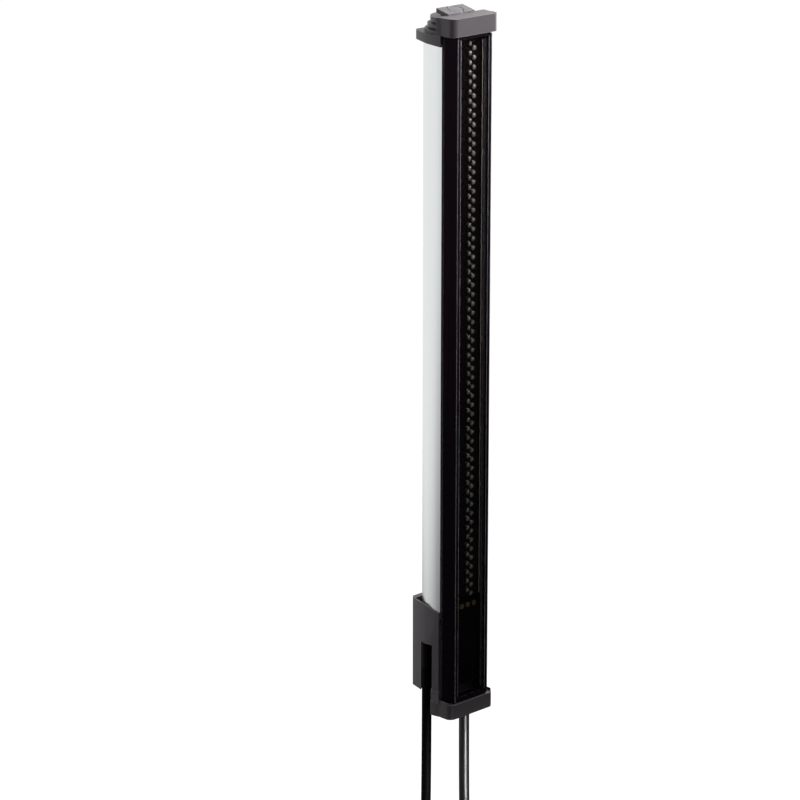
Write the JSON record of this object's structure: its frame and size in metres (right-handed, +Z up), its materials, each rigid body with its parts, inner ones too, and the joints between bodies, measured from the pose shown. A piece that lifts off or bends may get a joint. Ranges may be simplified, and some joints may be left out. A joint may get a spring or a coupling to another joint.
{
  "type": "automation light grid",
  "caption": "Slim light grid post with a silver rear housing, dark front window over two staggered lens columns, end caps and two short plug-ended cables.",
  "frame": {"origin": "centre of the connection box's flat back, in the plane where the post lies on its carrier", "axes": "+Z up along the post, +X to the right along the front, the front window faces -Y"},
  "size_m": [0.058, 0.033, 0.5787],
  "materials": {
    "silver_anodised": "satin anodised",
    "black_anodised": "black anodised",
    "tinted_window": "polished, tinted",
    "clear_lens": "clear",
    "black_moulding": "fine texture",
    "circuit_board": "solder mask",
    "chip_resin": "moulded",
    "terminal_plastic": "moulded",
    "amber_pipe": "clear amber",
    "cap_plastic": "fine spark texture",
    "gasket_rubber": "matt",
    "screw_steel": "plain",
    "soft_moulding": "matt moulded",
    "cable_jacket": "matt extruded",
    "plated_brass": "nickel plated",
    "gold_contact": "gold plated"
  },
  "bodies": {
    "post": {"bottom_cap": "cap_plastic", "bottom_gasket": "gasket_rubber", "box_screws": "screw_steel", "cable_left": "cable_jacket", "cable_right": "cable_jacket", "cable_terminals": "terminal_plastic", "connection_box": "cap_plastic", "control_board": "circuit_board", "control_chip": "chip_resin", "foot_screws": "screw_steel", "front_housing": "black_anodised", "front_window": "tinted_window", "indicator_holder": "black_moulding", "indicator_light_pipes": "amber_pipe", "lens_carrier_1": "black_moulding", "lens_carrier_2": "black_moulding", "lens_carrier_3": "black_moulding", "lens_carrier_4": "black_moulding", "lens_carrier_5": "black_moulding", "lens_carrier_6": "black_moulding", "lens_strip_1": "clear_lens", "lens_strip_2": "clear_lens", "lens_strip_3": "clear_lens", "lens_strip_4": "clear_lens", "lens_strip_5": "clear_lens", "lens_strip_6": "clear_lens", "photodiodes_1": "chip_resin", "photodiodes_2": "chip_resin", "photodiodes_3": "chip_resin", "photodiodes_4": "chip_resin", "photodiodes_5": "chip_resin", "photodiodes_6": "chip_resin", "plug_grip_left": "soft_moulding", "plug_grip_right": "soft_moulding", "plug_pins_left": "gold_contact", "plug_pins_right": "gold_contact", "rear_housing": "silver_anodised", "sensor_board_1": "circuit_board", "sensor_board_2": "circuit_board", "sensor_board_3": "circuit_board", "sensor_board_4": "circuit_board", "sensor_board_5": "circuit_board", "sensor_board_6": "circuit_board", "strain_relief_left": "soft_moulding", "strain_relief_right": "soft_moulding", "top_cap": "cap_plastic", "top_gasket": "gasket_rubber"},
    "nut_left": {"coupling_nut_left": "plated_brass"},
    "nut_right": {"coupling_nut_right": "plated_brass"}
  },
  "joints": [
    {"name": "coupling_nut_left_spin", "type": "hinge", "parent": "post", "child": "nut_left", "pos_m": [-0.02227, -0.0126, -0.2269], "axis": [-0.0709, 0, -0.9975], "continuous": true},
    {"name": "coupling_nut_right_spin", "type": "hinge", "parent": "post", "child": "nut_right", "pos_m": [0.02192, -0.0126, -0.20788], "axis": [0.0775, 0, -0.997], "continuous": true}
  ]
}
